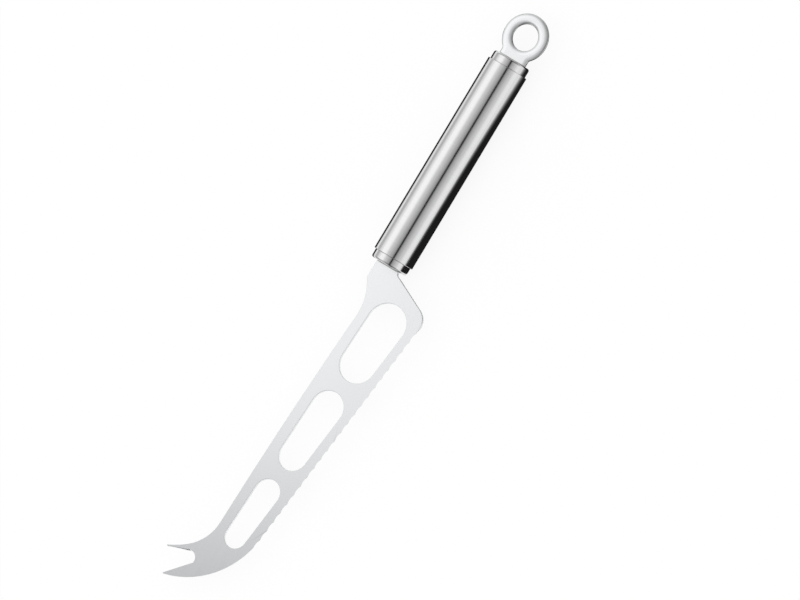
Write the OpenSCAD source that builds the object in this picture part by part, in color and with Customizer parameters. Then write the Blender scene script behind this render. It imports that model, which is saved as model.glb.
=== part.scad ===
// Cheese knife with a slotted, forked blade, a round hollow handle and a flat hanging eye.
// Millimetres. The origin is the centre of the hanging hole, in the middle of the eye's plate.
// +X runs along the handle to the blade's tip, +Y points to the cutting edge, +Z is the plate's normal.
// Places along the blade are measured from the front cap's end face.

/* [Hanging eye] */
// Diameter of the hanging hole
hole_d = 12; // [8:0.5:14]
// Outer diameter of the eye
eye_d = 21.5; // [20:0.1:28]
// Thickness of the eye's plate
eye_plate = 1.5; // [1:0.1:2.5]
// Width of the stem between the eye and the rear cap
stem_w = 13.8; // [9:0.1:14.2]
// Distance from the hole's centre to the rear cap's end face
stem_reach = 11.1; // [10.6:0.1:20]
// Radius of the fillets between the eye and its stem
stem_fillet_r = 2; // [0.5:0.1:2.2]
// Length of the stem that is hidden behind the rear cap's end face
stem_tail = 12; // [6:0.5:20]

/* [Handle] */
// Outer diameter of the handle tube
tube_d = 19; // [18.4:0.1:24]
// Wall of the handle tube
tube_wall = 0.8; // [0.6:0.1:1.2]
// Length of the handle tube
tube_len = 96.1; // [70:0.1:140]
// Rounding of the tube's outer edges
tube_edge_r = 0.15; // [0.1:0.05:0.5]
// Length of the rear cap that shows behind the tube
rear_cap_len = 4.1; // [3:0.1:8]
// Length of the front cap that shows ahead of the tube
front_cap_len = 4; // [3:0.1:8]
// Wall of both drawn caps
cap_wall = 1; // [0.6:0.1:1.2]
// Length of each cap's skirt inside the tube
cap_skirt = 9; // [5:0.5:15]
// Rounding of the caps' rims
cap_rim_r = 1; // [0.5:0.1:1.5]
// Radial clearance between the caps and the tube, which the braze fills
cap_fit = 0.02; // [0.01:0.01:0.05]
// Height of the braze that shows in the step between a cap and the tube
seam_leg = 0.25; // [0.2:0.05:0.5]
// Clearance of the slits round the tang and the stem
slit_fit = 0.03; // [0.02:0.01:0.1]
// Leg of the weld fillets between the front cap's end face and the blade
tang_weld_leg = 0.4; // [0.3:0.1:1.2]
// Leg of the weld fillets between the rear cap's end face and the eye's stem
stem_weld_leg = 0.3; // [0.2:0.1:0.8]
// Distance that each weld fillet stops short of the sides of the blade or the stem
weld_inset = 0.3; // [0.2:0.1:2]

/* [Blade] */
// Length of the blade from the front cap to the lower tine's tip
blade_len = 164.2; // [145:0.1:200]
// Thickness of the blade's plate
blade_plate = 1.5; // [1:0.1:2.5]
// Width of the neck and of the tang
neck_w = 11.7; // [9:0.1:12.5]
// Length of the tang behind the front cap's end face
tang_len = 24; // [12:0.5:40]
// Straight length of the neck on the spine's side
neck_straight = 8.4; // [5:0.1:14]
// Radius of the neck's soft corner
neck_corner_r = 1; // [0.5:0.1:3]
// Radius of the hollow sweep from the neck to the spine
neck_sweep_r = 25.8; // [15:0.1:35]
// Distance from the handle's axis to the spine where the sweep ends
spine_offset = 0.75; // [0:0.05:2]
// Further distance by which the spine leaves the axis towards the tip
spine_drop = 4.95; // [3:0.05:7]
// Height of the spine's slight outward bow
spine_bow = 0.6; // [0.1:0.1:1]
// Place on the neck where the heel starts to rise
heel_start = 1.4; // [0.9:0.1:4]
// Angle between the heel's rising side and the axis, in degrees
heel_angle = 66; // [60:1:75]
// Radius of the fillet at the heel's root
heel_root_r = 1.4; // [0.5:0.1:1.4]
// Radius of the heel's corner
heel_corner_r = 7.5; // [4:0.1:9]

/* [Cutting edge] */
// Place of the first scallop, from the front cap
teeth_start = 19; // [17:0.1:24]
// Distance from the axis to the cutting edge at the first scallop
edge_reach = 27.8; // [25:0.1:31]
// Angle by which the edge closes on the axis towards the tip, in degrees
edge_angle = 6.66; // [5.5:0.01:8]
// Radius of the belly that carries the edge round to the lower tine
belly_r = 40.5; // [38:0.1:45]
// Distance from the tip to the last scallop
teeth_end = 26.8; // [24:0.1:40]
// Distance between two scallops
tooth_pitch = 4.86; // [3:0.02:8]
// Depth of a scallop seen square to the plate
tooth_depth = 0.4; // [0.2:0.05:0.9]
// Angle at which scallops and bevel are ground, in degrees
grind_angle = 26; // [24:1:40]
// Thickness that is left at the plain edge
edge_land = 0.12; // [0.05:0.01:0.3]

/* [Slots] */
// Place of the first slot's near end
slots_start = 12.7; // [11.5:0.1:20]
// Distance from the tip to the last slot's far end
slots_end = 24.7; // [24:0.1:40]
// Metal between the slots and the spine
spine_web = 4.6; // [3:0.1:5.5]
// Metal between the first slot's near end and the cutting edge
edge_web = 4.55; // [4:0.05:5.5]
// Metal between the last slot's far end and the cutting edge
edge_web_far = 5; // [4:0.05:5.5]
// Metal between one slot and the next
bridge = 6.8; // [4:0.05:12]

/* [Fork] */
// Distance from the tip to the start of the upper tine's sweep
sweep_start = 31.8; // [30:0.1:36]
// Radius of the sweep from the spine to the upper tine
sweep_r = 19.5; // [17:0.1:23]
// Angle through which that sweep turns, in degrees
sweep_turn = 52; // [48:1:54]
// Radius of the upper tine's outer side
tine_r = 40; // [30:1:60]
// Angle of the upper tine's outer side at its tip, in degrees
tine_turn = 66; // [62:1:68]
// Distance from the lower tine's tip to the bottom of the gap
gap_depth = 14.85; // [14:0.05:16]
// Radius of the gap's bottom beside the lower tine
gap_r = 3.4; // [2:0.1:3.8]
// Distance from the axis to the middle of that radius
gap_offset = 10.3; // [9.5:0.1:11]
// Radius of the gap's corner beside the upper tine
gap_corner_r = 3; // [1:0.1:4]
// Distance from the axis to the middle of that corner
gap_corner_offset = 12.2; // [11.5:0.1:13]
// Distance from the axis to the middle of the lower tine's tip
tine_drop = 16.4; // [15.5:0.1:17.5]
// Radius of both tines' tips
tine_tip_r = 0.35; // [0.2:0.05:0.5]

/* [Hidden] */
$fn = 96;

// Amount by which every cut runs past what it cuts
overrun = 2;
// Number of short lines that stand for one arc of an outline
arc_steps = 14;
// Shares of the slotted length that the slots take, from the handle to the tip
slot_shares = [0.3445, 0.35, 0.3055];

// Places along the handle
tube_x = stem_reach + rear_cap_len;
tube_end_x = tube_x + tube_len;
blade_x = tube_end_x + front_cap_len;
bore_r = tube_d / 2 - tube_wall;
cap_r = bore_r - cap_fit;

// Unit vectors along the cutting edge, and square to it, into the blade
edge_dir = [cos(edge_angle), -sin(edge_angle)];
edge_in = [-sin(edge_angle), -cos(edge_angle)];
edge_from = [teeth_start, edge_reach];

// Centre of the belly: it touches the edge line and the tip of the lower tine
low_tip_c = [blade_len - tine_tip_r, -tine_drop];
belly_line = edge_from + belly_r * edge_in;
tip_along = (low_tip_c - belly_line) * edge_dir;
tip_aside = (low_tip_c - belly_line) * edge_in;
belly_c = belly_line + (tip_along - sqrt(pow(belly_r - tine_tip_r, 2) - pow(tip_aside, 2))) * edge_dir;
belly_from = 90 - edge_angle;
belly_to = atan2(low_tip_c.y - belly_c.y, low_tip_c.x - belly_c.x);

// Neck and spine
neck_turn = acos(1 - (neck_w / 2 - spine_offset) / (neck_corner_r + neck_sweep_r));
neck_corner_c = [neck_straight, neck_corner_r - neck_w / 2];
neck_sweep_c = [neck_straight + (neck_corner_r + neck_sweep_r) * sin(neck_turn),
                -spine_offset - neck_sweep_r];
sweep_x = blade_len - sweep_start;
spine_run = sweep_x - neck_sweep_c.x;
spine_in_turn = atan2(spine_drop + 4 * spine_bow, spine_run);
spine_out_turn = atan2(spine_drop - 4 * spine_bow, spine_run);

// Fork: the upper tine's sweep, its outer side and its tip
sweep_c = arc_centre([sweep_x, -spine_offset - spine_drop], sweep_r, -spine_out_turn);
tine_from = on_arc(sweep_c, sweep_r, 90 - sweep_turn);
tine_c = arc_centre(tine_from, tine_r, -sweep_turn);
high_tip_c = on_arc(tine_c, tine_r + tine_tip_r, 90 - tine_turn);
gap_x = blade_len - gap_depth;
gap_c = [gap_x + gap_r, -gap_offset];
gap_corner_c = [gap_x + gap_corner_r, -gap_corner_offset];
high_inner_turn = tangent_angle(high_tip_c, tine_tip_r, gap_corner_c, -gap_corner_r);
low_inner_turn = tangent_angle(gap_c, -gap_r, low_tip_c, tine_tip_r);

// Heel: root fillet, rising side and corner
heel_rise = [cos(heel_angle), sin(heel_angle)];
heel_root_c = [heel_start - heel_root_r * tan(heel_angle / 2), neck_w / 2 + heel_root_r];
heel_foot = [heel_start, neck_w / 2];
heel_gap = (edge_from - heel_foot) * edge_in / (heel_rise * edge_in);
heel_top = heel_foot + heel_gap * heel_rise;
heel_corner_c = heel_top + heel_corner_r * tan((heel_angle + edge_angle) / 2) * edge_dir
    + heel_corner_r * edge_in;

// Scallops: a wheel's radius that leaves the stated depth over one pitch
tooth_sag = (tooth_depth + edge_land) * sin(grind_angle);
tooth_r = (pow(tooth_pitch / 2, 2) + pow(tooth_sag, 2)) / (2 * tooth_sag);
straight_len = (belly_c - belly_line) * edge_dir;
teeth_run = blade_len - teeth_end - teeth_start;
teeth_count = floor(teeth_run / tooth_pitch);
grind_len = blade_plate / sin(grind_angle);

// Slots: they lie inside one tapered strip between the spine and the edge
slot_near_x = slots_start + slot_half(slots_start).y;
slot_far_x = blade_len - slots_end - slot_half(blade_len - slots_end).y;
slot_near = slot_half(slot_near_x);
slot_far = slot_half(slot_far_x);
slot_total = blade_len - slots_end - slots_start - 2 * bridge;

// A point on a circle at an angle in degrees
function on_arc(c, r, a) = c + r * [cos(a), sin(a)];

// Points along an arc, both ends included
function arc(c, r, from, to, steps = arc_steps) =
    [for (i = [0:steps]) on_arc(c, r, from + (to - from) * i / steps)];

// Centre of an arc that leaves p in the direction a and turns right
function arc_centre(p, r, a) = p + r * [sin(a), -cos(a)];

// Direction of the straight line from one circle to the next: a radius counts as positive where the
// line leaves the circle on its left, and as negative where it leaves it on its right
function tangent_angle(c0, r0, c1, r1) =
    atan2(c1.y - c0.y, c1.x - c0.x) + asin((r1 - r0) / norm(c1 - c0));

// Distance of the spine from the axis, as the outline's Y at a place along the blade
function spine_y(x) =
    let (s = (x - neck_sweep_c.x) / spine_run)
    -spine_offset - spine_drop * s - 4 * spine_bow * s * (1 - s);

// Y of the straight cutting edge's line at a place along the blade
function edge_y(x) = edge_reach - (x - teeth_start) * tan(edge_angle);

// Width of the metal beside the cutting edge at a place along the blade
function edge_web_at(x) =
    edge_web + (edge_web_far - edge_web) * (x - slots_start) / (blade_len - slots_end - slots_start);

// Middle and half width of the slotted strip at a place, as [middle, half width]
function slot_half(x) =
    let (low = spine_y(x) + spine_web, high = edge_y(x) - edge_web_at(x))
    [(high + low) / 2, (high - low) / 2];

// Place and direction of a point that lies a given run along the edge, past the first scallop
function edge_at(run) =
    run < straight_len
    ? [edge_from + run * edge_dir, -edge_angle]
    : let (turn = (run - straight_len) / belly_r * 180 / PI)
      [on_arc(belly_c, belly_r, belly_from - turn), -edge_angle - turn];

// Turns a piece's own axis from +Z to +X and sets it at a place along the handle
module along_x(x) {
    translate([x, 0, 0]) rotate([0, 90, 0]) children();
}

// Half section of a disc or a tube with one rounded outer corner at its far end
module rim_section(r, len, rim) {
    square([r - rim, len]);
    square([r, len - rim]);
    translate([r - rim, len - rim]) circle(rim);
}

// Drawn cup that starts at its flat end, with a slit for a plate
module cup(shown, plate, slit_w) {
    depth = shown + cap_skirt;
    difference() {
        translate([0, 0, depth]) mirror([0, 0, 1]) rotate_extrude() rim_section(cap_r, depth, cap_rim_r);
        translate([0, 0, cap_wall]) cylinder(r = cap_r - cap_wall, h = depth + overrun);
        cube([plate + 2 * slit_fit, slit_w + 2 * slit_fit, overrun + 2 * cap_wall], center = true);
    }
}

// Triangular ring of braze that stands on a cap and against the tube's end face
module seam() {
    rotate_extrude() polygon([[cap_r, 0], [bore_r + seam_leg, 0], [cap_r, seam_leg]]);
}

// Pair of weld fillets, above and below a plate, that run along Y and stand on a wall at X = 0
module weld_pair(plate, plate_w, leg) {
    for (side = [0, 1])
        mirror([0, 0, side]) translate([0, 0, plate / 2]) rotate([90, 0, 0])
            linear_extrude(plate_w - 2 * weld_inset, center = true)
                polygon([[0, 0], [leg, 0], [0, leg]]);
}

// Outline of the eye and its stem, with a fillet on each side
function eye_outline() =
    let (
        reach = eye_d / 2 + stem_fillet_r,
        side = stem_w / 2 + stem_fillet_r,
        x = sqrt(pow(reach, 2) - pow(side, 2)),
        turn = atan2(side, x),
        end = stem_reach + stem_tail
    )
    concat(
        arc([0, 0], eye_d / 2, turn, 360 - turn, 4 * arc_steps),
        arc([x, -side], stem_fillet_r, 180 - turn, 90),
        [[end, -stem_w / 2], [end, stem_w / 2]],
        arc([x, side], stem_fillet_r, 270, 180 + turn)
    );

// Outline of the blade, tang included, from the tang round by the spine, the fork and the edge
function blade_outline() = concat(
    [[-tang_len, -neck_w / 2]],
    arc(neck_corner_c, neck_corner_r, -90, neck_turn - 90),
    arc(neck_sweep_c, neck_sweep_r, 90 + neck_turn, 90 - spine_in_turn),
    [for (i = [1:arc_steps - 1]) let (x = neck_sweep_c.x + spine_run * i / arc_steps) [x, spine_y(x)]],
    arc(sweep_c, sweep_r, 90 - spine_out_turn, 90 - sweep_turn),
    arc(tine_c, tine_r, 90 - sweep_turn, 90 - tine_turn),
    arc(high_tip_c, tine_tip_r, -90 - tine_turn, high_inner_turn - 90),
    arc(gap_corner_c, gap_corner_r, high_inner_turn + 90, 180),
    arc(gap_c, gap_r, 180, low_inner_turn + 90),
    arc(low_tip_c, tine_tip_r, low_inner_turn - 90, belly_to),
    arc(belly_c, belly_r, belly_to, belly_from),
    arc(heel_corner_c, heel_corner_r, 90 - edge_angle, 90 + heel_angle),
    arc(heel_root_c, heel_root_r, heel_angle - 90, -90),
    [[-tang_len, neck_w / 2]]
);

// One slot: two round ends, joined by straight sides that touch both
module slot(from_x, to_x) {
    taper = (slot_far.y - slot_near.y) / (slot_far_x - slot_near_x);
    x0 = (from_x + slot_near.y - taper * slot_near_x) / (1 - taper);
    x1 = (to_x - slot_near.y + taper * slot_near_x) / (1 + taper);
    share0 = (x0 - slot_near_x) / (slot_far_x - slot_near_x);
    share1 = (x1 - slot_near_x) / (slot_far_x - slot_near_x);
    c0 = [x0, slot_near.x + (slot_far.x - slot_near.x) * share0];
    c1 = [x1, slot_near.x + (slot_far.x - slot_near.x) * share1];
    r0 = slot_near.y + (slot_far.y - slot_near.y) * share0;
    r1 = slot_near.y + (slot_far.y - slot_near.y) * share1;
    lean = atan2(c1.y - c0.y, c1.x - c0.x);
    spread = acos((r0 - r1) / norm(c1 - c0));
    polygon(concat(arc(c0, r0, lean + spread, lean + 360 - spread, 2 * arc_steps),
                   arc(c1, r1, lean - spread, lean + spread, 2 * arc_steps)));
}

// The row of slots
module slots() {
    starts = [for (i = 0, x = slots_start; i < len(slot_shares);
                   x = x + slot_shares[i] * slot_total + bridge, i = i + 1) x];
    for (i = [0:len(slot_shares) - 1])
        slot(starts[i], starts[i] + slot_shares[i] * slot_total);
}

// Grinding wheel's path for one scallop, from below, at a run along the edge
module scallop(run) {
    at = edge_at(run);
    translate([at[0].x, at[0].y, blade_plate / 2]) rotate([0, 0, at[1]])
        translate([0, -tooth_depth, 0]) rotate([grind_angle - 90, 0, 0])
            translate([0, tooth_r, -grind_len - overrun]) cylinder(r = tooth_r, h = grind_len + 2 * overrun);
}

// Plain bevel under the belly, from the last scallop to the tip
module belly_bevel() {
    first = belly_from - (teeth_count * tooth_pitch - straight_len) / belly_r * 180 / PI;
    width = (blade_plate - edge_land) / tan(grind_angle);
    rise = blade_plate - edge_land;
    steep = rise / width;
    translate([belly_c.x, belly_c.y, -blade_plate / 2]) rotate([0, 0, belly_to - grind_angle])
        rotate_extrude(angle = first - belly_to + grind_angle)
            polygon([[belly_r - width - overrun, -overrun * steep], [belly_r + overrun, -overrun * steep],
                     [belly_r + overrun, rise + overrun * steep]]);
}

module blade() {
    color("gainsboro") translate([blade_x, 0, 0]) difference() {
        linear_extrude(blade_plate, center = true) difference() {
            polygon(blade_outline());
            slots();
        }
        for (i = [0:teeth_count - 1])
            scallop((i + 0.5) * tooth_pitch);
        belly_bevel();
    }
}

module front_cap() {
    color("silver") translate([blade_x, 0, 0]) rotate([0, -90, 0]) cup(front_cap_len, blade_plate, neck_w);
}

module front_cap_seam() {
    color("dimgray") along_x(tube_end_x) seam();
}

module tang_weld() {
    color("gray") translate([blade_x, 0, 0]) weld_pair(blade_plate, neck_w, tang_weld_leg);
}

module handle_tube() {
    color("lightgray") along_x(tube_x) difference() {
        union() {
            translate([0, 0, tube_len / 2]) rotate_extrude()
                rim_section(tube_d / 2, tube_len / 2, tube_edge_r);
            translate([0, 0, tube_len / 2]) mirror([0, 0, 1]) rotate_extrude()
                rim_section(tube_d / 2, tube_len / 2, tube_edge_r);
        }
        translate([0, 0, -overrun]) cylinder(r = bore_r, h = tube_len + 2 * overrun);
    }
}

module rear_cap() {
    color("silver") along_x(stem_reach) cup(rear_cap_len, eye_plate, stem_w);
}

module rear_cap_seam() {
    color("dimgray") translate([tube_x, 0, 0]) rotate([0, -90, 0]) seam();
}

module stem_weld() {
    color("gray") translate([stem_reach, 0, 0]) mirror([1, 0, 0]) weld_pair(eye_plate, stem_w, stem_weld_leg);
}

module hanging_ring() {
    color("whitesmoke") linear_extrude(eye_plate, center = true) difference() {
        polygon(eye_outline());
        circle(hole_d / 2);
    }
}

blade();
front_cap();
front_cap_seam();
tang_weld();
handle_tube();
rear_cap();
rear_cap_seam();
stem_weld();
hanging_ring();
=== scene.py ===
# %% [markdown]
# # A cheese knife in stainless steel
# The knife is a perforated plate blade, a round hollow handle closed by two drawn caps, and a flat
# eye to hang it by. Its measured frame is loaded first. Every piece made here takes its size and
# place from that frame, so nothing has to be fitted afterwards.

# %% Load the measured frame
import math

import bmesh
import bpy
from mathutils import Matrix, Vector


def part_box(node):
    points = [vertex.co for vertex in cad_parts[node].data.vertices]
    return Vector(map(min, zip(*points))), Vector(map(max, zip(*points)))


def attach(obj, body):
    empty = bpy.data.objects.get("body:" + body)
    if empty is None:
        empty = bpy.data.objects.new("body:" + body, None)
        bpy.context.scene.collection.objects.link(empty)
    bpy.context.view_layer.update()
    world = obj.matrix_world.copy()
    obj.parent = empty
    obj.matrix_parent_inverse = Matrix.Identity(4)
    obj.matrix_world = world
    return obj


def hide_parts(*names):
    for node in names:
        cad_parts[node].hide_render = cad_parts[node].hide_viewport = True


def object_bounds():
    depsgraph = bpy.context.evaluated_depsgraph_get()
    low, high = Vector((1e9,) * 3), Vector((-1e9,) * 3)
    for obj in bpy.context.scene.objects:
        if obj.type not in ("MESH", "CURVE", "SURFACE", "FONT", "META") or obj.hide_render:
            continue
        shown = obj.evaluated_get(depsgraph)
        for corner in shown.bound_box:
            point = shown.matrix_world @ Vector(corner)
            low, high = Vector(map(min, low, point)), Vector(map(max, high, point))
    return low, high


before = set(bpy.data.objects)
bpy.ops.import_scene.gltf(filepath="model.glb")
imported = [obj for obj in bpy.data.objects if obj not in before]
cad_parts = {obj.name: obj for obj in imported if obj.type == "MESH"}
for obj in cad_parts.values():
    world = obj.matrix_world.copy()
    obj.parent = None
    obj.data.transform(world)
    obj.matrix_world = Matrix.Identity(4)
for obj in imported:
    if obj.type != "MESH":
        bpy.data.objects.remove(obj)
frame_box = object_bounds()
MM = 0.001
print("frame:", sorted(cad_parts), "size", [round(v, 4) for v in frame_box[1] - frame_box[0]])


# %% [markdown]
# ## Three small helpers
# Colours are written as the hex values that a colour picker shows, and one function turns them
# to linear light. One function starts an empty material, and one adds a shader node with its
# settings and links.

# %% Helpers
def linear(hex_colour):
    """The linear RGBA of an sRGB hex colour such as #D8D9DA."""
    shares = [int(hex_colour[i:i + 2], 16) / 255 for i in (1, 3, 5)]
    return [s / 12.92 if s <= 0.04045 else ((s + 0.055) / 1.055) ** 2.4 for s in shares] + [1.0]


def add_node(tree, kind, inputs=None, **settings):
    """Adds a node. An input is given a value, or is linked where it is given a socket."""
    node = tree.nodes.new(kind)
    for name, value in settings.items():
        setattr(node, name, value)
    for name, value in (inputs or {}).items():
        if isinstance(value, bpy.types.NodeSocket):
            tree.links.new(value, node.inputs[name])
        else:
            node.inputs[name].default_value = value
    return node


def new_material(name):
    """An empty node material and its tree."""
    material = bpy.data.materials.new(name)
    material.use_nodes = True
    material.node_tree.nodes.clear()
    return material, material.node_tree


print("the grey #808080 is", round(linear("#808080")[0], 3), "in linear light")

# %% [markdown]
# ## The camera
# The knife is seen from far away through a long lens: both ends of the handle look equally wide
# in the photograph. The camera leans from the plate's normal towards the cutting edge, and the
# handle's axis leans in the picture. Both angles were measured in the photograph: the round hole
# in the eye shows as an ellipse, and the handle is straight. A camera can be turned by three
# angles, but here it is turned by a matrix of the picture's own directions, because each of them
# says what it is, and the studio needs the direction to the camera again.

# %% Camera
CAMERA_TILT = math.radians(23.7)
HANDLE_LEAN = math.radians(30.96)
CAMERA_DISTANCE = 12.0
CAMERA_NEAR = 0.05
PICTURE_WIDTH = 0.3461
PICTURE_CENTRE_ALONG = 125.25 * MM
PICTURE_CENTRE_ASIDE = 11.77 * MM

to_camera = Vector((0, math.sin(CAMERA_TILT), math.cos(CAMERA_TILT)))
aside = Vector((0, math.cos(CAMERA_TILT), -math.sin(CAMERA_TILT)))
along = Vector((1, 0, 0))
picture_right = math.cos(HANDLE_LEAN) * aside - math.sin(HANDLE_LEAN) * along
picture_up = to_camera.cross(picture_right)
look_at = PICTURE_CENTRE_ALONG * along + PICTURE_CENTRE_ASIDE * aside

camera_data = bpy.data.cameras.new("portrait_camera")
camera_data.angle = 2 * math.atan(PICTURE_WIDTH / 2 / CAMERA_DISTANCE)
camera_data.clip_start = CAMERA_NEAR
camera = bpy.data.objects.new("portrait_camera", camera_data)
bpy.context.scene.collection.objects.link(camera)
picture_turn = Matrix((picture_right, picture_up, to_camera)).transposed().to_4x4()
camera.matrix_world = Matrix.Translation(look_at + CAMERA_DISTANCE * to_camera) @ picture_turn
bpy.context.scene.camera = camera
bpy.context.scene.view_settings.view_transform = "Standard"
print("camera:", [round(v, 3) for v in camera.location], "lens", round(camera_data.lens, 1), "mm")


# %% [markdown]
# ## The studio
# Polished metal has hardly any look of its own: it shows what stands round it. So the room
# comes before the finishes. A plain white world lights everything evenly. The steel itself looks
# into a light tent, a tunnel of cloth over the handle's axis that is brightest at both sides and
# dark in a narrow slit where the camera looks in. Black flags lie on the table beside the handle,
# and give it its dark edges. Tent and flags are seen in reflections only.

# %% White world
world = bpy.data.worlds.new("white_room")
world.use_nodes = True
bpy.context.scene.world = world
world_light = world.node_tree.nodes["Background"]
world_light.inputs["Color"].default_value = linear("#FFFFFF")
world_light.inputs["Strength"].default_value = 1.0
print("world:", world.name)


# %% [markdown]
# ### The floor
# The knife lies on white paper. Strong lamps could turn the paper white, but they would bleach the
# steel as well. So most of the paper's white is its own wherever the camera, a reflection or glass
# looks at it, and the rest is lit by the world and takes the knife's soft shadow.

# %% Floor
FLOOR_Z = frame_box[0].z
FLOOR_SIZE = 12.0
FLOOR_OWN_LIGHT = 0.88


def floor_material():
    """White paper. Part of its white is its own, so that the shadow on it stays faint."""
    material, tree = new_material("white_paper")
    rays = add_node(tree, "ShaderNodeLightPath")
    seen = add_node(tree, "ShaderNodeMath", {0: rays.outputs["Is Camera Ray"],
                    1: rays.outputs["Is Glossy Ray"]}, operation="MAXIMUM")
    shows = add_node(tree, "ShaderNodeMath", {0: seen.outputs[0],
                     1: rays.outputs["Is Transmission Ray"]}, operation="MAXIMUM")
    share = add_node(tree, "ShaderNodeMath", {0: shows.outputs[0], 1: FLOOR_OWN_LIGHT},
                     operation="MULTIPLY")
    paper = add_node(tree, "ShaderNodeBsdfDiffuse", {"Color": linear("#FFFFFF")})
    glow = add_node(tree, "ShaderNodeEmission", {"Color": linear("#FFFFFF"), "Strength": 1.0})
    mix = add_node(tree, "ShaderNodeMixShader", {0: share.outputs[0], 1: paper.outputs[0],
                   2: glow.outputs[0]})
    add_node(tree, "ShaderNodeOutputMaterial", {"Surface": mix.outputs[0]})
    return material


def stage_mesh(name, vertices, faces, material):
    """A mesh that belongs to the studio and not to the knife."""
    mesh = bpy.data.meshes.new(name)
    mesh.from_pydata(vertices, [], faces)
    mesh.materials.append(material)
    item = bpy.data.objects.new(name, mesh)
    bpy.context.scene.collection.objects.link(item)
    return item


half = FLOOR_SIZE / 2
floor_corners = [(-half, -half, FLOOR_Z), (half, -half, FLOOR_Z), (half, half, FLOOR_Z),
                 (-half, half, FLOOR_Z)]
stage_mesh("floor", floor_corners, [(0, 1, 2, 3)], floor_material())
print("floor at", round(FLOOR_Z, 4))


# %% [markdown]
# ### Surfaces for reflections
# The tent and the flags could be lit cloth and black card, with lamps behind the cloth. Here both
# are grids whose points carry an amount, worked out from their place by a short function: how
# bright the cloth is there, or how dense the card is. Such a grid is easy to shape, and no lamp
# has to light it.

# %% Glowing grids
def eased(table, at):
    """The value of a table of (place, value) pairs at a place, eased from one pair to the next."""
    if at <= table[0][0]:
        return table[0][1]
    for (x0, y0), (x1, y1) in zip(table, table[1:]):
        if at <= x1:
            t = (at - x0) / (x1 - x0)
            return y0 + (y1 - y0) * t * t * (3 - 2 * t)
    return table[-1][1]


def glow_material(name, is_card):
    """A cloth as bright as its points say or, for a card, as black and as dense as they say."""
    material, tree = new_material(name)
    points = add_node(tree, "ShaderNodeAttribute", attribute_name="amount")
    if is_card:
        clear = add_node(tree, "ShaderNodeBsdfTransparent")
        black = add_node(tree, "ShaderNodeEmission", {"Color": linear("#202020")})
        surface = add_node(tree, "ShaderNodeMixShader", {0: points.outputs["Fac"],
                           1: clear.outputs[0], 2: black.outputs[0]})
    else:
        surface = add_node(tree, "ShaderNodeEmission", {"Color": linear("#FFFFFF"),
                           "Strength": points.outputs["Fac"]})
    add_node(tree, "ShaderNodeOutputMaterial", {"Surface": surface.outputs[0]})
    return material


def glow_grid(name, rows, material):
    """A grid of rows of (point, amount) that only reflections show."""
    width = len(rows[0])
    points = [point for row in rows for point, _ in row]
    faces = [(i * width + j, i * width + j + 1, (i + 1) * width + j + 1, (i + 1) * width + j)
             for i in range(len(rows) - 1) for j in range(width - 1)]
    item = stage_mesh(name, points, faces, material)
    amounts = item.data.attributes.new("amount", "FLOAT", "POINT")
    amounts.data.foreach_set("value", [amount for row in rows for _, amount in row])
    item.visible_camera = False
    item.visible_diffuse = False
    item.visible_transmission = False
    item.visible_shadow = False
    print(name, "has", len(faces), "faces")


# %% [markdown]
# ### The light tent
# Real ones are tunnels of white cloth with a slit for the lens. The polished tube shows the tent
# from one side to the other, squeezed into its width, so the brightness across the tube comes
# from a table by angle. The flat blade shows one line of the tent, so its tone from heel to tip
# comes from a table by place. Two cards close the tent's ends.

# %% Light tent
TENT_RADIUS = 0.6
TENT_REACH = 1.4
TENT_STEPS_ROUND = 120
TENT_STEPS_ALONG = 56
# Angle round the handle's axis from the camera's direction, in degrees, and the brightness there.
# Below zero is the spine's side.
TENT_GLOW = [(-114, 0.60), (-100, 0.60), (-84, 1.00), (-70, 1.26), (-54, 1.26), (-32, 0.76),
             (-16, 0.54), (-8, 0.40), (-2, 0.01), (2, 0.01), (8, 0.40), (16, 0.54), (32, 0.76),
             (52, 1.08), (67, 1.10)]
# Place along the handle's axis, in metres, and the share of the brightness that is left there, on
# the spine's side and on the cutting edge's side.
SPINE_SIDE_FADE = [(-1.4, 0.5), (-0.5, 0.5), (-0.1, 1.0), (0.175, 1.0), (0.33, 0.42),
                   (0.45, 0.42), (0.9, 0.75), (1.4, 0.75)]
EDGE_SIDE_FADE = [(-1.4, 0.2), (-0.45, 0.22), (-0.08, 1.0), (0.18, 1.0), (0.4, 0.3), (1.4, 0.3)]
# Angle as above, and the share of the cutting edge's side there.
SIDES_MEET = [(-10, 0), (10, 1)]
# Angle as above, and the brightness of the cards that close the tent's two ends.
TENT_END_GLOW = [(-114, 0.5), (-20, 0.5), (10, 0.12), (67, 0.12)]


def tent_row(turn):
    """One line of the tent along the handle, at an angle in degrees from the camera's direction."""
    a = math.radians(turn)
    out = TENT_RADIUS * (math.cos(a) * to_camera + math.sin(a) * aside)
    share = eased(SIDES_MEET, turn)
    row = []
    for i in range(TENT_STEPS_ALONG + 1):
        x = TENT_REACH * (2 * i / TENT_STEPS_ALONG - 1)
        fade = (1 - share) * eased(SPINE_SIDE_FADE, x) + share * eased(EDGE_SIDE_FADE, x)
        row.append((out + x * along, eased(TENT_GLOW, turn) * fade))
    return row


tent_from = -90 - math.degrees(CAMERA_TILT)
tent_turns = [tent_from + 180 * i / TENT_STEPS_ROUND for i in range(TENT_STEPS_ROUND + 1)]
tent_rows = [tent_row(turn) for turn in tent_turns]
tent_cloth = glow_material("tent_cloth", is_card=False)
glow_grid("light_tent", tent_rows, tent_cloth)
for end_name, end, end_x in (("rear", 0, -TENT_REACH), ("front", -1, TENT_REACH)):
    end_rows = []
    for turn, row in zip(tent_turns, tent_rows):
        glow = eased(TENT_END_GLOW, turn)
        end_rows.append([(end_x * along, glow), (row[end][0], glow)])
    glow_grid("tent_end_" + end_name, end_rows, tent_cloth)

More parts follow.
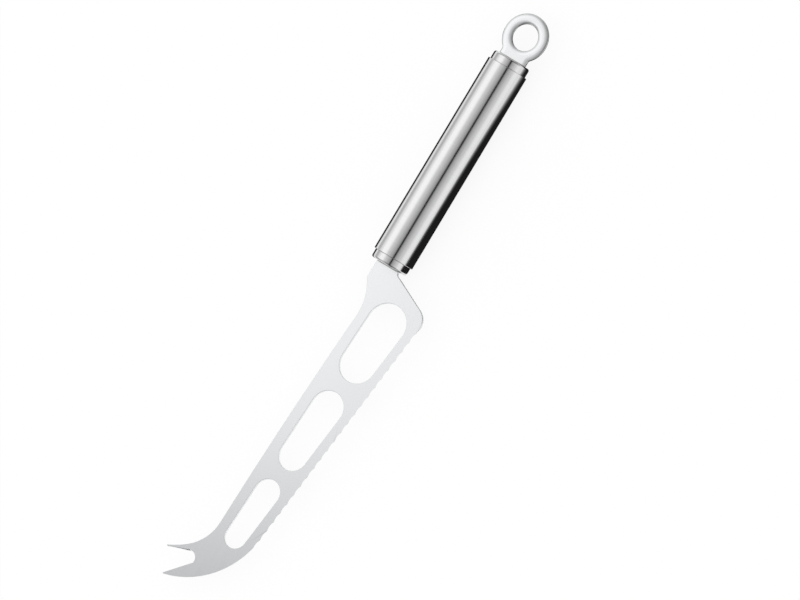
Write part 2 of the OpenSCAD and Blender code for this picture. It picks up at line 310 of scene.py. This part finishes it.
# %% [markdown]
# ### The black flags
# A photographer lays black card beside shiny things, so that their edges stand out from a white
# table. The tube and the caps show the cards along both sides. The small card under the eye is
# painted shadow: it lies where the eye's own shadow falls, which the paper's own white hides from
# reflections, and the eye's walls show it dark. A card could be a plain black sheet, but a sheet's
# edge would show in the steel as a hard line. So each card thins out at its sides and ends.

# %% Black flags
FLAG_LIFT = 0.2 * MM
FLAG_STEPS = 40
FLAG_SOFT_ENDS = 3
FADE_IN = [(0, 0), (1, 1)]


def between(table, at):
    """The value of a table of (place, value) pairs at a place, in straight lines between them."""
    for (x0, y0), (x1, y1) in zip(table, table[1:]):
        if at <= x1:
            return y0 + (y1 - y0) * (at - x0) / (x1 - x0)
    return table[-1][1]


def flag(name, outline, soft_near, soft_far):
    """A black card on the table. Its outline is a table of (place along the handle, near side, far
    side) in millimetres. It thins out over a share of its width at its near and far side, and
    over a few millimetres at its two ends."""
    near = [(x, y) for x, y, _ in outline]
    far = [(x, y) for x, _, y in outline]
    rear, front = outline[0][0], outline[-1][0]
    rows = []
    for j in range(FLAG_STEPS + 1):
        x = rear + (front - rear) * j / FLAG_STEPS
        end = min((x - rear) / FLAG_SOFT_ENDS, (front - x) / FLAG_SOFT_ENDS, 1)
        row = []
        for i in range(FLAG_STEPS + 1):
            s = i / FLAG_STEPS
            y = between(near, x) + (between(far, x) - between(near, x)) * s
            side = min(s / soft_near if soft_near else 1, (1 - s) / soft_far if soft_far else 1, 1)
            amount = eased(FADE_IN, side) * eased(FADE_IN, end)
            row.append((Vector((x * MM, y * MM, FLOOR_Z + FLAG_LIFT)), amount))
        rows.append(row)
    glow_grid(name, rows, flag_and_shadow_card)


flag_and_shadow_card = glow_material("flag_and_shadow_card", is_card=True)
flag("edge_side_flag", [(-30, 3, 20), (28, 3, 58), (65, 3, 97), (113, 3, 132), (118, 28, 135),
                        (125, 32, 140)], soft_near=0, soft_far=0.75)
flag("spine_side_flag", [(0, -14, -62), (130, -14, -62)], soft_near=0.1, soft_far=0.45)
# Painted shadow: a black card under the eye, where the eye's own shadow falls, that only the eye's
# walls reflect.
flag("eye_painted_shadow_card", [(-20, -13, 3), (10, -13, 3)], soft_near=0.1, soft_far=0)


# %% [markdown]
# ## The finishes
# All of the knife is stainless steel. It is a metal, so its base colour is the colour of its
# reflections, a pale grey, and it keeps the default index of refraction. What changes from piece
# to piece is how it was finished, and that is a matter of roughness and of grain: the fine
# scratches that a belt, a wheel or a tumbling barrel leaves. Noise drawn out along the scratches
# gives all of them. It varies the colour and the roughness a little, and dents the surface.

# %% How steel is made
GRAIN_LOW = 0.3
GRAIN_HIGH = 0.7
GRAIN_DETAIL = 2.0
QUARTER_TURN = 0.25


def scratches(tree, spacing, run):
    """Noise for scratches a given distance apart. Run says how far they reach along X, Y and Z,
    in spacings."""
    place = add_node(tree, "ShaderNodeTexCoord")
    drawn = add_node(tree, "ShaderNodeMapping", {"Vector": place.outputs["Object"],
                     "Scale": [1 / reach for reach in run]})
    return add_node(tree, "ShaderNodeTexNoise", {"Vector": drawn.outputs[0],
                    "Scale": 1 / spacing, "Detail": GRAIN_DETAIL})


def steel(name, pale, dark, roughness, spacing, run, depth, lathe_marks=0.0):
    """Steel whose grain runs from a pale to a dark shade and from one roughness to another. Lathe
    marks, from 0 to 1, stretch the reflections along the handle."""
    material, tree = new_material(name)
    noise = scratches(tree, spacing, run).outputs["Fac"]
    shade = add_node(tree, "ShaderNodeValToRGB", {"Fac": noise})
    low, high = shade.color_ramp.elements
    low.position, high.position = GRAIN_LOW, GRAIN_HIGH
    low.color, high.color = linear(dark), linear(pale)
    rough = add_node(tree, "ShaderNodeMapRange", {"Value": noise, "From Min": GRAIN_LOW,
                     "From Max": GRAIN_HIGH, "To Min": roughness[0], "To Max": roughness[1]})
    dents = add_node(tree, "ShaderNodeBump", {"Height": noise, "Strength": 1.0,
                     "Distance": depth})
    metal = add_node(tree, "ShaderNodeBsdfPrincipled", {"Base Color": shade.outputs["Color"],
                     "Metallic": 1.0, "Roughness": rough.outputs["Result"],
                     "Normal": dents.outputs["Normal"]})
    if lathe_marks:
        round_about = add_node(tree, "ShaderNodeTangent", direction_type="RADIAL", axis="X")
        metal.inputs["Anisotropic"].default_value = lathe_marks
        metal.inputs["Anisotropic Rotation"].default_value = QUARTER_TURN
        tree.links.new(round_about.outputs["Tangent"], metal.inputs["Tangent"])
    add_node(tree, "ShaderNodeOutputMaterial", {"Surface": metal.outputs[0]})
    return material


# %% [markdown]
# ### Six finishes of one metal
# The blade is satin: a fine belt has run along it, and it shows the tent as an even pale grey.
# Its teeth and bevel come fresh from the wheel, a little shinier, with marks across the edge. Its
# sheared walls were only blasted: pale and quite rough, so they take light from all round.
# The tube was polished while it turned, so its marks run round it and it shows sharp bands. The
# caps are drawn and then polished the same way. The eye was tumbled, which leaves it evenly and
# softly bright. The joints are a duller, yellower braze metal.
# Real belt marks lie about 0.05 mm apart, which is far too fine to show, so all marks are drawn
# about ten times as coarse, and very faint.

# %% Steel and braze
satin_steel = steel("satin_belt_ground_steel", "#E7E8EA", "#E3E4E6", roughness=(0.20, 0.24),
                    spacing=0.5 * MM, run=(30, 1, 1), depth=0.0002 * MM)
wheel_steel = steel("wheel_ground_edge_steel", "#DEDFE1", "#D2D3D5", roughness=(0.16, 0.24),
                    spacing=0.3 * MM, run=(1, 12, 12), depth=0.0004 * MM)
sheared_steel = steel("blasted_sheared_wall_steel", "#F3F4F5", "#ECEDEE", roughness=(0.42, 0.5),
                      spacing=0.4 * MM, run=(1, 1, 4), depth=0.0004 * MM)
tube_steel = steel("turned_polished_tube_steel", "#DDDDDE", "#D9D9DA", roughness=(0.13, 0.16),
                   spacing=0.6 * MM, run=(1, 60, 60), depth=0.0001 * MM, lathe_marks=0.4)
cap_steel = steel("drawn_polished_cap_steel", "#DCDCDD", "#D8D8D9", roughness=(0.13, 0.16),
                  spacing=0.6 * MM, run=(1, 60, 60), depth=0.0001 * MM, lathe_marks=0.4)
tumbled_steel = steel("tumbled_eye_steel", "#E2E3E4", "#DEDFE0", roughness=(0.13, 0.17),
                      spacing=0.5 * MM, run=(1, 1, 1), depth=0.0004 * MM)
braze_metal = steel("silver_braze_metal", "#D2D1CD", "#C4C3BF", roughness=(0.24, 0.32),
                    spacing=0.5 * MM, run=(1, 1, 1), depth=0.001 * MM)
print("finishes:", [m.name for m in bpy.data.materials if "steel" in m.name or "braze" in m.name])


# %% [markdown]
# ## From a mesh to a piece
# Each piece is built as a bmesh, which lets a script add and join points, edges and faces one by
# one. When it is done, it becomes an object that stands for its node of the frame, rides on the
# knife's one body, and takes its finish. Edges that turn sharply stay sharp, and the others are
# shaded smooth. Weighted normals keep the large flat faces flat beside their small roundings.

# %% Making a piece
BODY = "root"
SHARP_TURN = math.radians(24)
NORMALS_MODIFIER = "flat_faces_stay_flat"


def mark_sharp(bm, soft_faces=()):
    """Marks the edges that turn sharply, apart from those on faces that have to look soft."""
    soft = set(soft_faces)
    for face in bm.faces:
        face.smooth = True
    for edge in bm.edges:
        rounded = any(face in soft for face in edge.link_faces)
        edge.smooth = rounded or edge.calc_face_angle(0) < SHARP_TURN


def make_piece(name, bm, finish, node):
    """Makes the piece that stands for one node of the frame."""
    mesh = bpy.data.meshes.new(name)
    bm.to_mesh(mesh)
    bm.free()
    mesh.materials.append(finish)
    item = bpy.data.objects.new(name, mesh)
    bpy.context.scene.collection.objects.link(item)
    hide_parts(node)
    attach(item, BODY)
    normals = item.modifiers.new(NORMALS_MODIFIER, "WEIGHTED_NORMAL")
    normals.keep_sharp = True
    print(name, "stands for", node, "with", len(mesh.polygons), "faces")
    return item


# %% [markdown]
# ## The plates: blade and eye
# Both are stamped from 1.5 mm sheet. A stamped edge is never knife-sharp all round: the blade was
# deburred, and the eye was tumbled until it was quite round. One could draw the outlines again as
# curves, but the frame already holds them exactly, with every tooth. So both pieces start from a
# copy of their node's mesh, cleaned to one face per flat.

# %% Cleaning a plate
MERGE_WITHIN = 0.002 * MM
FLAT_TURN = math.radians(0.4)
# How much of a face's normal points up or down, at least on a flat and at most on a wall.
FLAT_UP = 0.99
WALL_UP = 0.05

blade_low, blade_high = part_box("blade")
PLATE = blade_high.z - blade_low.z
print("the plates are", round(PLATE / MM, 3), "mm thick")


def clean_plate(node):
    """A copy of a plate's mesh with one face per flat."""
    bm = bmesh.new()
    bm.from_mesh(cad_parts[node].data)
    bmesh.ops.remove_doubles(bm, verts=bm.verts, dist=MERGE_WITHIN)
    bmesh.ops.dissolve_limit(bm, angle_limit=FLAT_TURN, verts=bm.verts, edges=bm.edges)
    print(node, "cleaned to", len(bm.faces), "faces")
    return bm


def is_flat(face):
    """Says whether a face is one of a plate's two flats."""
    return abs(face.normal.z) > FLAT_UP


def is_wall(face):
    """Says whether a face stands square to a plate's flats."""
    return abs(face.normal.z) < WALL_UP


# %% [markdown]
# ### The blade
# The photograph shows its plain side. The edges between its flats and its full-height walls are
# bevelled by a hair. The cutting edge has no such wall, so it stays sharp. A bevel modifier would
# round it as well, so the bevel is done on chosen edges. The wheel took the teeth and the belly's
# bevel from the other side, so the grind shows only from below, and gets its own finish there.
# The sheared walls and their rounded edges get theirs too.

# %% Blade
BLADE_EDGE_R = 0.15 * MM
BLADE_EDGE_STEPS = 3
FULL_WALL_SHARE = 0.9
# How much of a face's normal points up or down: at most on a slanted face, at least on the grind.
SLANT_UP = 0.97
GRIND_UP = 0.8
WHEEL_SLOT = 1
SHEARED_SLOT = 2

blade_mesh = clean_plate("blade")


def is_full_wall(face):
    """Says whether a wall is as high as the plate is thick."""
    z = [vert.co.z for vert in face.verts]
    return is_wall(face) and max(z) - min(z) > FULL_WALL_SHARE * PLATE


rims = [edge for edge in blade_mesh.edges if any(map(is_flat, edge.link_faces))
        and any(map(is_full_wall, edge.link_faces))]
rounding = bmesh.ops.bevel(blade_mesh, geom=rims, offset=BLADE_EDGE_R, offset_type="OFFSET",
                           segments=BLADE_EDGE_STEPS, profile=0.5, affect="EDGES")["faces"]
mark_sharp(blade_mesh, list(rounding) + [face for face in blade_mesh.faces if is_wall(face)])
blade = make_piece("blade_satin", blade_mesh, satin_steel, "blade")
blade.data.materials.append(wheel_steel)
blade.data.materials.append(sheared_steel)
for face in blade.data.polygons:
    if -SLANT_UP < face.normal.z < -GRIND_UP:
        face.material_index = WHEEL_SLOT
    elif abs(face.normal.z) < SLANT_UP:
        face.material_index = SHEARED_SLOT
print("rounded edges:", len(rims), "ground and sheared faces:",
      [sum(face.material_index == i for face in blade.data.polygons)
       for i in (WHEEL_SLOT, SHEARED_SLOT)])

# %% [markdown]
# ### The hanging eye
# Its ring has no flat left: it is crowned like a worn washer, so it turns from white to grey across
# its width. A bevel can't give so wide and low a rounding. So the flats are inset again and again,
# each time by one step, and each line of points drops by the crown's depth there: it is level in
# the middle of the ring and runs out straight at the rim. The crown is lower on the stem.

# %% Hanging eye
CROWN_WIDTH = 2.3 * MM
CROWN_HEIGHT = 0.48 * MM
CROWN_STEPS = 10
STEM_CROWN_SHARE = 0.75
# Place along the handle's axis, and the share of the crown's depth there.
CROWN_FADE = [(4 * MM, 1), (9.1 * MM, STEM_CROWN_SHARE)]


def crown_drop(reach):
    """How far the full crown lies below the flat at a distance from the rim."""
    t = min(reach / CROWN_WIDTH, 1)
    return CROWN_HEIGHT * (1 - 2 * t + 2 * t ** 3 - t ** 4)


eye_mesh = clean_plate("hanging_ring")
eye_flats = [face for face in eye_mesh.faces if is_flat(face)]
drops = {}
inset_to = 0
for step in range(1, CROWN_STEPS + 1):
    reach = CROWN_WIDTH * step / CROWN_STEPS
    band = bmesh.ops.inset_region(eye_mesh, faces=eye_flats, thickness=reach - inset_to,
                                  use_even_offset=True, use_boundary=True)["faces"]
    inner = {vert for face in eye_flats for vert in face.verts}
    for vert in {vert for face in band for vert in face.verts} - inner:
        drops[vert] = crown_drop(inset_to)
    inset_to = reach
for vert, drop in drops.items():
    vert.co.z -= math.copysign(drop * eased(CROWN_FADE, vert.co.x), vert.co.z)
mark_sharp(eye_mesh, eye_mesh.faces)
make_piece("hanging_eye", eye_mesh, tumbled_steel, "hanging_ring")
print("crowned by", len(drops), "points")


# %% [markdown]
# ## The turned pieces: tube, caps and joints
# They are round about the handle's axis, so each is a closed outline of places and radii, turned
# through a full circle. A screw modifier could do it too, but a short loop gives clean four-sided
# faces that close on themselves, and lets an outline end on the axis.

# %% Turning an outline
ROUND_STEPS = 192
CORNER_STEPS = 8


def corner(centre, radius, start, end, steps=CORNER_STEPS):
    """Points (place, radius) on a corner's arc between two angles in degrees."""
    angles = [math.radians(start + (end - start) * i / steps) for i in range(steps + 1)]
    return [(centre[0] + radius * math.cos(a), centre[1] + radius * math.sin(a)) for a in angles]


def turned(outline):
    """A closed outline of (place along the axis, radius) turned about the handle's axis."""
    bm = bmesh.new()
    turns = [2 * math.pi * i / ROUND_STEPS for i in range(ROUND_STEPS)]
    rings = [[bm.verts.new((x, r * math.cos(a), r * math.sin(a))) for a in (turns if r else [0])]
             for x, r in outline]
    for ring, following in zip(rings, rings[1:] + rings[:1]):
        for i in range(ROUND_STEPS):
            j = (i + 1) % ROUND_STEPS
            four = [ring[i % len(ring)], ring[j % len(ring)],
                    following[j % len(following)], following[i % len(following)]]
            corners = list(dict.fromkeys(four))
            if len(corners) > 2:
                bm.faces.new(corners)
    bmesh.ops.recalc_face_normals(bm, faces=bm.faces)
    mark_sharp(bm)
    return bm


print("a full turn has", ROUND_STEPS, "steps")

# %% [markdown]
# ### The handle tube
# A thin-walled tube, open at both ends. Its outer edges are broken by a small rounding, which
# draws a fine line at the step down to each cap. A bevel could round them afterwards, but here
# the rounding is part of the outline that is turned.

# %% Handle tube
TUBE_WALL = 0.8 * MM
TUBE_EDGE_R = 0.08 * MM

tube_low, tube_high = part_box("handle_tube")
tube_r = tube_high.z
tube_outline = (
    [(tube_low.x, tube_r - TUBE_WALL)]
    + corner((tube_low.x + TUBE_EDGE_R, tube_r - TUBE_EDGE_R), TUBE_EDGE_R, 180, 90)
    + corner((tube_high.x - TUBE_EDGE_R, tube_r - TUBE_EDGE_R), TUBE_EDGE_R, 90, 0)
    + [(tube_high.x, tube_r - TUBE_WALL)]
)
make_piece("tube_turned", turned(tube_outline), tube_steel, "handle_tube")

# %% [markdown]
# ### The two caps
# Each is a cup drawn from sheet: a round rim between its end and its skirt, and the skirt sits
# inside the tube. It could be a cylinder with a bevelled rim, but turned as the tube is, it gets
# its rim, its skirt and its hollow inside from one outline.

# %% Cups
CAP_WALL = 1.0 * MM
CAP_RIM_R = 1.0 * MM
CAP_RIM_STEPS = 9


def cup_outline(end_x, open_x, radius):
    """A cup that is closed at one place on the axis and open at another."""
    way = 1 if open_x > end_x else -1
    rim_centre = (end_x + way * CAP_RIM_R, radius - CAP_RIM_R)
    rim = corner(rim_centre, CAP_RIM_R, 90 + way * 90, 90, CAP_RIM_STEPS)
    inner = radius - CAP_WALL
    return [(end_x, 0)] + rim + [(open_x, radius), (open_x, inner),
                                 (end_x + way * CAP_WALL, inner), (end_x + way * CAP_WALL, 0)]


print("the caps' rims are rounded by", round(CAP_RIM_R / MM, 2), "mm")

# %% [markdown]
# ### The slits in the caps
# A slit in each cap's end lets the tang or the eye's stem through. A punch makes it in the shop. A
# turned outline can't hold a slit, so a block is taken out of the cup by a boolean, once, and the
# block goes away again.

# %% Slits, and both caps
SLIT_FIT = 0.03 * MM
PUNCH_LENGTH = 4 * MM
STEM_WIDTH = 13.8 * MM
TANG_WIDTH = 11.7 * MM


def cut_slit(cap, end_x, width):
    """Takes a slit for a plate of a given width out of a cap's end."""
    punch_mesh = bmesh.new()
    bmesh.ops.create_cube(punch_mesh, size=1)
    bmesh.ops.scale(punch_mesh, verts=punch_mesh.verts,
                    vec=(PUNCH_LENGTH, width + 2 * SLIT_FIT, PLATE + 2 * SLIT_FIT))
    bmesh.ops.translate(punch_mesh, verts=punch_mesh.verts, vec=(end_x, 0, 0))
    mesh = bpy.data.meshes.new("slit_punch")
    punch_mesh.to_mesh(mesh)
    punch_mesh.free()
    punch = bpy.data.objects.new("slit_punch", mesh)
    bpy.context.scene.collection.objects.link(punch)
    cut = cap.modifiers.new("slit", "BOOLEAN")
    cut.object = punch
    cut.solver = "EXACT"
    cap.modifiers.move(len(cap.modifiers) - 1, 0)
    normals = cap.modifiers[NORMALS_MODIFIER]
    normals.show_viewport = False
    graph = bpy.context.evaluated_depsgraph_get()
    cap.data = bpy.data.meshes.new_from_object(cap.evaluated_get(graph))
    cap.modifiers.remove(cut)
    normals.show_viewport = True
    bpy.data.objects.remove(punch)


for cap_node, plate_width in (("rear_cap", STEM_WIDTH), ("front_cap", TANG_WIDTH)):
    low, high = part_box(cap_node)
    end, mouth = (low.x, high.x) if cap_node == "rear_cap" else (high.x, low.x)
    cup = turned(cup_outline(end, mouth, high.z))
    cap = make_piece(cap_node + "_drawn", cup, cap_steel, cap_node)
    cut_slit(cap, end, plate_width)
    print(cap_node, "slit cut, now", len(cap.data.polygons), "faces")

# %% [markdown]
# ### The brazed joints
# A ring of braze metal fills the step where a cap enters the tube. It wetted both, so its face is
# hollow and runs out thin on the cap and on the tube's end. A quarter of a circle turned inwards
# would be too full, so its points are pulled further into the corner by a power.

# %% Joints
FILLET_STEPS = 6
SEAM_HOLLOW = 1.5


def hollow_face(corner_x, corner_z, run, rise, power=1):
    """Points on the hollow face of a fillet, from its foot to its top. Power 1 gives a quarter of
    a circle, and a higher power a deeper hollow."""
    angles = [math.pi / 2 * i / FILLET_STEPS for i in range(FILLET_STEPS + 1)]
    return [(corner_x + run * (1 - math.sin(a)) ** power,
             corner_z + rise * (1 - math.cos(a)) ** power) for a in angles]


cap_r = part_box("front_cap")[1].z
for seam_node, tube_end, way in (("rear_cap_seam", tube_low.x, -1),
                                 ("front_cap_seam", tube_high.x, 1)):
    low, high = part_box(seam_node)
    face_points = hollow_face(tube_end, cap_r, way * (high.x - low.x), high.z - cap_r, SEAM_HOLLOW)
    ring = turned([(tube_end, cap_r)] + face_points)
    make_piece(seam_node + "_fillet", ring, braze_metal, seam_node)

# %% [markdown]
# ### The welds
# A small fillet of weld metal stands between each cap's end and both faces of the plate that comes
# out of it. In the photograph it is the fine dark line there. It is hollow like the brazed joints,
# and on the stem its foot follows the crown. A plain swept bar could not follow it, so the fillet
# is built of short sections across the plate.

# %% Welds
WELD_INSET = 0.3 * MM
WELD_SECTIONS = 36


def weld_pair(end_x, reach_x, top_z, width, crown_share):
    """Two hollow fillets, above and below a plate, that stand on a wall and reach away from it."""
    bm = bmesh.new()
    run = width - 2 * WELD_INSET
    for side in (1, -1):
        rings = []
        for i in range(WELD_SECTIONS + 1):
            y = run * (i / WELD_SECTIONS - 0.5)
            foot_z = PLATE / 2 - crown_share * crown_drop(width / 2 - abs(y))
            face_points = hollow_face(end_x, foot_z, reach_x - end_x, top_z - foot_z)
            section = [(end_x, foot_z)] + face_points
            rings.append([bm.verts.new((x, y, side * z)) for x, z in section])
        for ring, following in zip(rings, rings[1:]):
            for j in range(len(ring)):
                bm.faces.new([ring[j - 1], ring[j], following[j], following[j - 1]])
        bm.faces.new(rings[0])
        bm.faces.new(rings[-1])
    bmesh.ops.recalc_face_normals(bm, faces=bm.faces)
    mark_sharp(bm)
    return bm


for weld_node, plate_width, crown_share in (("tang_weld", TANG_WIDTH, 0),
                                            ("stem_weld", STEM_WIDTH, STEM_CROWN_SHARE)):
    low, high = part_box(weld_node)
    end_x, reach_x = (low.x, high.x) if weld_node == "tang_weld" else (high.x, low.x)
    weld = weld_pair(end_x, reach_x, high.z, plate_width, crown_share)
    make_piece(weld_node + "_fillet", weld, braze_metal, weld_node)
